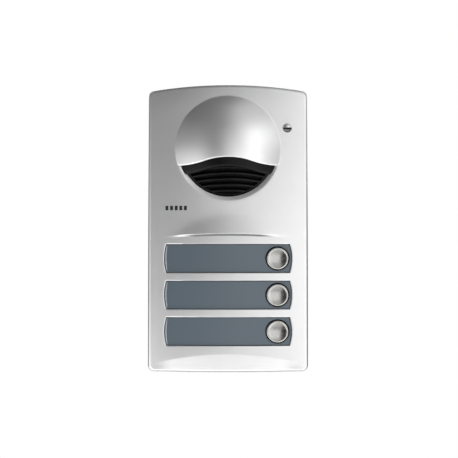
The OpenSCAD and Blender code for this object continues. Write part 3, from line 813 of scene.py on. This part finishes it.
def build_fascia():
    """The die-cast shell: a finely meshed front, its returns and an inner skin."""
    outer = fascia_loop(0)
    holes = [plate_loop(z, 0) for z in PLATE_Z] + [mouth_loop(), mic_slit_loop()]
    step = 1.7
    grid = [
        (x, z)
        for x in np.arange(-HALF_LOW + 2.5, HALF_LOW - 2.4, step)
        for z in np.arange(BOTTOM_Z + 2.5, TOP_Z - 2.4, step)
        if edge_distance(x, z) > 3.6 and np.hypot(x - MIC_X, z - MIC_Z) > 5.5
    ]

    def solid_at(x, z):
        inside = edge_distance(x, z) > -0.6
        for plate_z in PLATE_Z:
            inside &= plate_distance(x, z, plate_z) > 0
        rho = np.hypot(x, z - HOOD_Z)
        inside &= ~((rho < GRILLE_R) & (z < mouth_line(x)))
        reach = np.maximum(np.abs(x - MIC_X) - (MIC_SLIT_HALF_W - MIC_SLIT_HALF_H), 0)
        slit = np.hypot(reach, z - MIC_SLIT_Z) < MIC_SLIT_HALF_H
        return inside & ~slit

    flat, tris = triangulate_area([outer, *holes], feature_points() + grid, solid_at)
    depth = front(flat[:, 0], flat[:, 1])
    verts = [(x, y, z) for (x, z), y in zip(flat, depth)]
    faces = [tuple(t) for t in tris]

    # Returns: every open edge of the front goes back to the inner skin or to the rear rim.
    inner_of, rim_of = {}, {}
    for u, v in boundary_edges(tris):
        on_outline = edge_distance(*flat[u]) < 0.06 and edge_distance(*flat[v]) < 0.06
        lookup = rim_of if on_outline else inner_of
        for k in (u, v):
            if k not in lookup:
                x, z = flat[k]
                back = BACK_Y if on_outline else float(depth[k]) + WALL
                lookup[k] = len(verts)
                verts.append((x, back, z))
        faces.append((u, v, lookup[v], lookup[u]))

    # Rear rim and inner wall, then a plain inner skin
    rim_in = fascia_loop(WALL, 2.0)
    base = len(verts)
    count = len(rim_in)
    for x, z in rim_in:
        verts.append((x, BACK_Y, z))
    for x, z in rim_in:
        verts.append((x, float(pillow(x, z)) + WALL + EDGE_ROUND, z))
    for k in range(count):
        a, b = base + k, base + (k + 1) % count
        faces.append((a, b, b + count, a + count))
    ring, ring_tris = triangulate_area(
        [outer, rim_in],
        [],
        lambda x, z: edge_distance(x, z) < WALL - 0.05,
    )
    base = len(verts)
    verts += [(x, BACK_Y, z) for x, z in ring]
    faces += [tuple(base + k for k in t) for t in ring_tris]
    obj = make_object("fascia_shell", verts, faces, slot="satin_metal")

    plates = [plate_loop(z, 0.1, 2.0) for z in PLATE_Z]
    mic_opening = circle_points(MIC_X, MIC_Z, MIC_OPENING_R, 0.8)
    skin_flat, skin_tris = triangulate_area(
        [rim_in, *plates, mouth_loop(1.6), mic_opening],
        [(x, z) for x in np.arange(-58, 58.1, 4) for z in np.arange(-108, 104, 4)],
        lambda x, z: solid_at(x, z) & (np.hypot(x - MIC_X, z - MIC_Z) > MIC_OPENING_R),
    )
    rho = np.hypot(skin_flat[:, 0], skin_flat[:, 1] - HOOD_Z)
    under_hood = (rho < HOOD_R - WALL) & (skin_flat[:, 1] > mouth_line(skin_flat[:, 0]) - 0.01)
    cap = hood_cap(rho, HOOD_BALL_R - WALL)
    inner = pillow(skin_flat[:, 0], skin_flat[:, 1]) + WALL + 0.2
    chamfer = np.maximum(CHAMFER_R - rho, 0) * CHAMFER_DEPTH / (CHAMFER_R - GRILLE_R)
    inner = np.where(under_hood, np.minimum(inner, cap), inner + chamfer)
    skin = make_object(
        "fascia_inner_skin",
        [(x, y, z) for (x, z), y in zip(skin_flat, inner)],
        [tuple(t) for t in skin_tris],
        slot="satin_metal",
    )
    for piece in (obj, skin):
        paint(piece, "satin_metal")
    # Painted shade per vertex of the front, stored as an attribute for the paint to read
    painted_shade_values = np.zeros(len(obj.data.vertices), dtype=np.float32)
    painted_shade_values[: len(flat)] = painted_shade(flat[:, 0], flat[:, 1])
    obj.data.attributes.new("painted_shade", "FLOAT", "POINT").data.foreach_set("value", painted_shade_values)
    weld(obj)
    sharpen(obj, 38)
    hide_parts("fascia")
    return obj


def band_sections():
    """Sections of the black lip that follows the hood's mouth."""
    sections = []
    for x in np.linspace(-BAND_R + 1.0, BAND_R - 1.0, 121):
        edge = float(mouth_line(x))
        reach = math.sqrt(max(BAND_R**2 - x * x, 1.0))
        low = max(edge - BAND_H, HOOD_Z - reach + 0.3)
        high = max(edge + 1.2, low + 0.8)
        section = []
        for t in np.linspace(0, 1, 9):
            z = high + (low - high) * t
            rho = min(math.hypot(x, z - HOOD_Z), 56)
            rounding = float(round_over((1 - t) * (high - low), 1.3)) / 1.3
            y = float(hood_cap(rho, HOOD_BALL_R - 1.0)) + 1.5 * rounding
            section.append((x, y + 0.25, z))
        back = [(x, y + 2.6, z + (0.5 if k > 4 else 0)) for k, (x, y, z) in enumerate(section)]
        sections.append(section + back[::-1])
    return sections


def louvre_sections(index):
    """Sections of one louvre blade, drooping towards its front edge and bowed upwards."""
    shell_r = HOOD_BALL_R - WALL - 0.5
    crest = MOUTH_Z - BAND_H - 0.4 - index * LOUVRE_PITCH
    arc = 150.0
    reach = GRILLE_R - 1.6
    limit = 5.0
    for _ in range(60):
        z = crest - limit**2 / (2 * arc)
        limit = 0.5 * (limit + math.sqrt(max(reach**2 - (HOOD_Z - z) ** 2, 4.0)))
    sections = []
    for x in np.linspace(-limit, limit, 61):
        z0 = crest - x * x / (2 * arc)
        y0 = float(hood_cap(math.hypot(x, z0 - HOOD_Z), shell_r))
        nose = [
            (0.95 * math.cos(a), 0.95 * math.sin(a)) for a in np.linspace(-math.pi * 0.62, math.pi * 0.62, 9)
        ]
        section = [(x, y0 + 0.95 - forward, z0 + up) for forward, up in nose]
        section += [(x, y0 + 4.2, z0 + 2.2), (x, y0 + 4.4, z0 + 0.9)]
        sections.append(section)
    return sections


def rim_sections():
    """Sections of the grille's rim, along the lower arc of its circle."""
    sections = []
    outer, inner = GRILLE_R - 0.25, GRILLE_R - 2.1
    start = math.asin((MOUTH_Z - MOUTH_DROP - BAND_H + 1.5 - HOOD_Z) / GRILLE_R)
    corner, depth = 0.45, 3.2
    outline = [(outer, depth), (outer, corner), (outer - corner, 0)]
    outline += [(inner + corner, 0), (inner, corner), (inner, depth)]
    for a in np.linspace(math.pi - start, 2 * math.pi + start, 101):
        section = []
        for rho, extra in outline:
            y = float(hood_cap(rho, HOOD_BALL_R - WALL - 0.5)) + extra
            section.append((rho * math.cos(a), y, HOOD_Z + rho * math.sin(a)))
        sections.append(section)
    return sections


def build_grille():
    parts = [sweep(band_sections()), sweep(rim_sections())]
    parts += [sweep(louvre_sections(k)) for k in range(LOUVRE_COUNT)]
    obj = make_object("grille_louvres", *merge(parts), slot="black_plastic")
    sharpen(obj, 50)
    paint(obj, "black_plastic")
    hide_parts("speaker_grille")

    # Lined back wall behind the louvres
    shell_r = HOOD_BALL_R - WALL - 5.5
    loop = mouth_loop(1.2)
    flat, tris = triangulate_area(
        [loop],
        [p for r in (8, 16, 24, 31) for p in circle_points(0, HOOD_Z, r, 3) if p[1] < mouth_line(p[0]) - 1],
        lambda x, z: (np.hypot(x, z - HOOD_Z) < GRILLE_R) & (z < mouth_line(x)),
    )
    depth = hood_cap(np.hypot(flat[:, 0], flat[:, 1] - HOOD_Z), shell_r)
    verts = [(x, min(y, -12.0), z) for (x, z), y in zip(flat, depth)]
    back = make_object("grille_scrim", verts, [tuple(t) for t in tris])
    paint(back, "felt")


def build_window_bevel(index):
    """A thin crescent along a window's left end only, in a light grey finish: a painted highlight."""
    plate_z = PLATE_Z[index]
    arc_r = PLATE_END_R - 0.75
    centre_x = PLATE_END_R - PLATE_HALF_W
    reach = math.asin((PLATE_HALF_H - 0.8) / arc_r)
    sections = []
    for t in np.linspace(-1, 1, 61):
        width = 0.15 + 1.0 * math.sqrt(max(1 - t * t, 0.0))
        a = math.pi + reach * t
        section = []
        for inward, lift in ((0, 0.25), (0, -0.03), (0.25, -0.08), (0.8, -0.02), (1, 0.25)):
            radius = arc_r - width * inward
            x, z = centre_x + radius * math.cos(a), plate_z + radius * math.sin(a)
            section.append((x, float(pillow(x, z)) + 0.8 + lift, z))
        sections.append(section)
    # Painted highlight: the crescent gets the light grey bevel finish, and the right end gets none
    obj = make_object(f"bevel_highlight_finish_{index + 1}", *sweep(sections), slot="clear_window")
    obj.data.materials.clear()
    obj.data.materials.append(BEVEL_HIGHLIGHT_MATERIAL)


def build_window_border(index):
    """A black strip that fills the gap round a window: painted shade standing in for the shadow in the gap.
    """
    plate_z = PLATE_Z[index]
    outer = plate_loop(plate_z, -0.02)
    inner = plate_loop(plate_z, -0.55)
    n = min(len(outer), len(inner))
    outer = [outer[int(k * len(outer) / n)] for k in range(n)]
    inner = [inner[int(k * len(inner) / n)] for k in range(n)]
    verts, faces = [], []
    for k in range(n):
        (ox, oz), (ix, iz) = outer[k], inner[k]
        face_o, face_i = float(pillow(ox, oz)), float(pillow(ix, iz))
        mx, mz = (ox + ix) / 2, (oz + iz) / 2
        face_m = float(pillow(mx, mz))
        verts += [(ox, face_o + 2.1, oz), (ox, face_o + 0.95, oz), (mx, face_m + 0.75, mz)]
        verts += [(ix, face_i + 0.95, iz), (ix, face_i + 2.1, iz)]
    for k in range(n):
        for j in range(5):
            a, b = k * 5 + j, k * 5 + (j + 1) % 5
            c, d = ((k + 1) % n) * 5 + (j + 1) % 5, ((k + 1) % n) * 5 + j
            faces.append((a, b, c, d))
    # Painted shade: black rubber fills the shaded gap round the window
    obj = make_object(f"window_gap_shade_{index + 1}", verts, faces, slot="black_rubber")
    paint(obj, "black_rubber")


def arc_profile(cr, cy, radius, start, end, n=6):
    """Points (radius, y) along an arc, angles in degrees from +radius towards +y."""
    return [
        (cr + radius * math.cos(math.radians(start + (end - start) * k / n)),
         cy + radius * math.sin(math.radians(start + (end - start) * k / n)))
        for k in range(n + 1)
    ]


def build_button(index):
    """A spun steel cap: a shallow dish inside a rounded, bevelled rim."""
    low, high = BUTTON_BOXES[index]
    centre = (BUTTON_X, (low[2] + high[2]) / 2)
    face, back = low[1], high[1]
    dish_r = 7.0
    dish = [(r, face + 1.25 - 0.95 * (r / dish_r) ** 2) for r in np.linspace(0, dish_r, 20)]
    rim = arc_profile(dish_r + 0.45, face + 0.42, 0.42, 200, 270)
    rim += arc_profile(BUTTON_R - 0.75, face + 0.75, 0.75, 270, 360, 9)
    under = [(BUTTON_R, back), (BUTTON_R - 0.5, back), (BUTTON_R - 0.5, face + 2.2), (0, face + 2.2)]
    cap = lathe(f"push_button_{index + 1}", dish + rim + under, centre, f"button_{index + 1}", "button_metal")
    sharpen(cap, 50)
    paint(cap, "button_metal")
    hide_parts(f"button_cap_{index + 1}")

    ring_low, ring_high = box_mm(f"button_ring_{index + 1}")
    outer = 9.3
    bore = BUTTON_R + 0.08
    front_y = ring_low[1]
    profile = [(bore, ring_high[1]), (bore, front_y + 0.25), (bore + 0.2, front_y)]
    profile += [(outer - 0.25, front_y), (outer, front_y + 0.25)]
    profile += [(outer, ring_high[1] - 1.0), (outer + 2, ring_high[1] - 1.0), (outer + 2, ring_high[1])]
    ring = lathe(f"guide_ring_{index + 1}", profile, centre, "panel", "black_plastic")
    sharpen(ring, 50)
    paint(ring, "black_plastic")
    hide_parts(f"button_ring_{index + 1}")


def build_spring(index):
    """The coil under a button, copied from its CAD node onto the panel; the copy keeps its length and does
    not shorten as the button goes in.
    """
    node_name = f"button_spring_{index + 1}"
    node = frame["nodes"][node_name]
    spring = bpy.data.objects.new(f"return_spring_{index + 1}", node.data.copy())
    spring.matrix_world = node.matrix_world.copy()
    bpy.context.scene.collection.objects.link(spring)
    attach(spring, "panel")
    paint(spring, "zinc_steel")
    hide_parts(node_name)
    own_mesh(spring)


def build_markers():
    """Five plain inlaid pips."""
    low, high = box_mm("marker_inlays")
    pitch = (high[0] - low[0] - 2.3) / 4
    parts = []
    for k in range(5):
        cx, cz = low[0] + 1.15 + pitch * k, (low[2] + high[2]) / 2
        half_w, half_h, corner = 1.15, 1.75, 0.45
        ring = []
        for sx, sz, start in ((1, 1, 0), (-1, 1, 90), (-1, -1, 180), (1, -1, 270)):
            for j in range(6):
                a = math.radians(start + 18 * j)
                x = cx + sx * (half_w - corner) + corner * math.cos(a)
                z = cz + sz * (half_h - corner) + corner * math.sin(a)
                ring.append((x, z))
        sections = []
        for shrink, lift in ((0, 0.3), (0, -0.03), (0.1, -0.09)):
            keep = 1 - shrink
            sections.append(
                [(cx + (x - cx) * keep, float(pillow(x, z)) + lift, cz + (z - cz) * keep) for x, z in ring]
            )
        parts.append(sweep(sections))
    obj = make_object("marker_pips", *merge(parts), slot="dark_inlay")
    sharpen(obj, 40)
    paint(obj, "dark_inlay")
    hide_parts("marker_inlays")


def dress_cad_nodes():
    """Materials and softened edges on the CAD nodes that stay in view."""
    slots = {s["node"]: s["material_slot"] for s in frame["record"]["subparts"]}
    for name, obj in frame["nodes"].items():
        if obj.hide_render:
            continue
        paint(obj, slots[name])
        bevel = obj.modifiers.new("soft_edges", "BEVEL")
        bevel.width = 0.00018
        bevel.segments = 2
        bevel.limit_method = "ANGLE"
        bevel.angle_limit = math.radians(40)
        bevel.use_clamp_overlap = True
        bevel.harden_normals = False


# ---------------------------------------------------------------- light, floor and camera

# Azimuth and elevation in degrees; 0, 0 is straight ahead of the panel and +90 is to its right.
# The third number is the power in watts for a soft box and the strength for a glow.
SOFT_BOXES = [
    (-60, -20, 0.59),
    (-60, -50, 1.15),
    (-60, 10, 0.20),
    (25, -20, 0.45),
    (25, 10, 0.53),
    (60, -50, 1.04),
    (60, 10, 0.55),
    (60, 45, 0.47),
    (145, 35, 1.6),
    (-145, 35, 1.6),
    (180, -30, 0.8),
]
BOX_DISTANCE = 0.45
BOX_SIZE = 0.5
FLOOR_HALF, FLOOR_DROP = 1.4, 0.6
WASH_SIZE = 2 * FLOOR_HALF
WASH_POWER = 6.0
WASH_Z = -0.3
GLOWS = [(-10, 60, 0.264)]
GLOW_SHARPNESS = 6.0
AMBIENT = 0.005


def toward(azimuth, elevation):
    a, e = math.radians(azimuth), math.radians(elevation)
    return Vector((math.sin(a) * math.cos(e), -math.cos(a) * math.cos(e), math.sin(e)))


def build_world():
    """A dim surround with a broad glow above, which the camera sees as plain white."""
    world = bpy.data.worlds.new("studio")
    bpy.context.scene.world = world
    world.use_nodes = True
    tree = world.node_tree
    tree.nodes.clear()

    def math_node(operation, value, second=None, third=None):
        made = tree.nodes.new("ShaderNodeMath")
        made.operation = operation
        tree.links.new(value, made.inputs[0])
        for index, extra in ((1, second), (2, third)):
            if extra is None:
                continue
            if isinstance(extra, float):
                made.inputs[index].default_value = extra
            else:
                tree.links.new(extra, made.inputs[index])
        return made.outputs[0]

    coords = tree.nodes.new("ShaderNodeTexCoord").outputs["Generated"]
    total = AMBIENT
    for azimuth, elevation, strength in GLOWS:
        dot = tree.nodes.new("ShaderNodeVectorMath")
        dot.operation = "DOT_PRODUCT"
        tree.links.new(coords, dot.inputs[0])
        dot.inputs[1].default_value = toward(azimuth, elevation)
        away = math_node("SUBTRACT", dot.outputs["Value"], 1.0)
        glow = math_node("EXPONENT", math_node("MULTIPLY", away, GLOW_SHARPNESS))
        total = math_node("MULTIPLY_ADD", glow, strength, total)
    surround = tree.nodes.new("ShaderNodeBackground")
    tree.links.new(total, surround.inputs["Strength"])
    white = tree.nodes.new("ShaderNodeBackground")
    white.inputs["Color"].default_value = (1, 1, 1, 1)
    path = tree.nodes.new("ShaderNodeLightPath")
    mix = tree.nodes.new("ShaderNodeMixShader")
    tree.links.new(path.outputs["Is Camera Ray"], mix.inputs[0])
    tree.links.new(surround.outputs[0], mix.inputs[1])
    tree.links.new(white.outputs[0], mix.inputs[2])
    output = tree.nodes.new("ShaderNodeOutputWorld")
    tree.links.new(mix.outputs[0], output.inputs["Surface"])


def build_lights():
    """Soft boxes round the panel, aimed at its middle, and a wash over the floor."""
    for number, (azimuth, elevation, power) in enumerate(SOFT_BOXES):
        data = bpy.data.lights.new(f"soft_box_{number + 1}", "AREA")
        data.shape = "SQUARE"
        data.size = BOX_SIZE
        data.energy = power
        light = bpy.data.objects.new(data.name, data)
        light.location = toward(azimuth, elevation) * BOX_DISTANCE
        light.rotation_euler = toward(azimuth, elevation).to_track_quat("Z", "Y").to_euler()
        light.visible_camera = False
        bpy.context.scene.collection.objects.link(light)

    wash = bpy.data.lights.new("floor_wash", "AREA")
    wash.shape = "SQUARE"
    wash.size = WASH_SIZE
    wash.energy = WASH_POWER
    lamp = bpy.data.objects.new(wash.name, wash)
    lamp.location = (0, 0, WASH_Z)
    lamp.visible_camera = False
    bpy.context.scene.collection.objects.link(lamp)


def build_floor():
    """A plain pale floor, well below the wall-mounted panel."""
    corners = [(-1, -1), (1, -1), (1, 1), (-1, 1)]
    verts = [(x * FLOOR_HALF, y * FLOOR_HALF, -FLOOR_DROP) for x, y in corners]
    mesh = bpy.data.meshes.new("floor")
    mesh.from_pydata(verts, [], [(0, 1, 2, 3)])
    floor = bpy.data.objects.new("floor", mesh)
    bpy.context.scene.collection.objects.link(floor)
    shader = Shader("floor_pale", (0.82, 0.82, 0.82), 0.8)
    shader.mottle(3, 0.01)
    mesh.materials.append(shader.material)


def build_camera():
    """Straight on to the front, as far off as a long lens stands."""
    lens, sensor = 100.0, 36.0
    frame_width = 0.3556
    data = bpy.data.cameras.new("camera")
    data.lens = lens
    data.sensor_width = sensor
    camera = bpy.data.objects.new("camera", data)
    camera.location = (0.0008, -FRONT_DEPTH * MM * 0.9 - frame_width * lens / sensor, -0.0002)
    camera.rotation_euler = (math.pi / 2, 0, 0)
    bpy.context.scene.collection.objects.link(camera)
    bpy.context.scene.camera = camera


build_camera()
build_world()
build_lights()
build_floor()
build_fascia()
build_grille()
build_markers()
for number in range(3):
    build_window_border(number)
    build_window_bevel(number)
    build_button(number)
    build_spring(number)
dress_cad_nodes()
bpy.context.scene.view_settings.view_transform = "Standard"
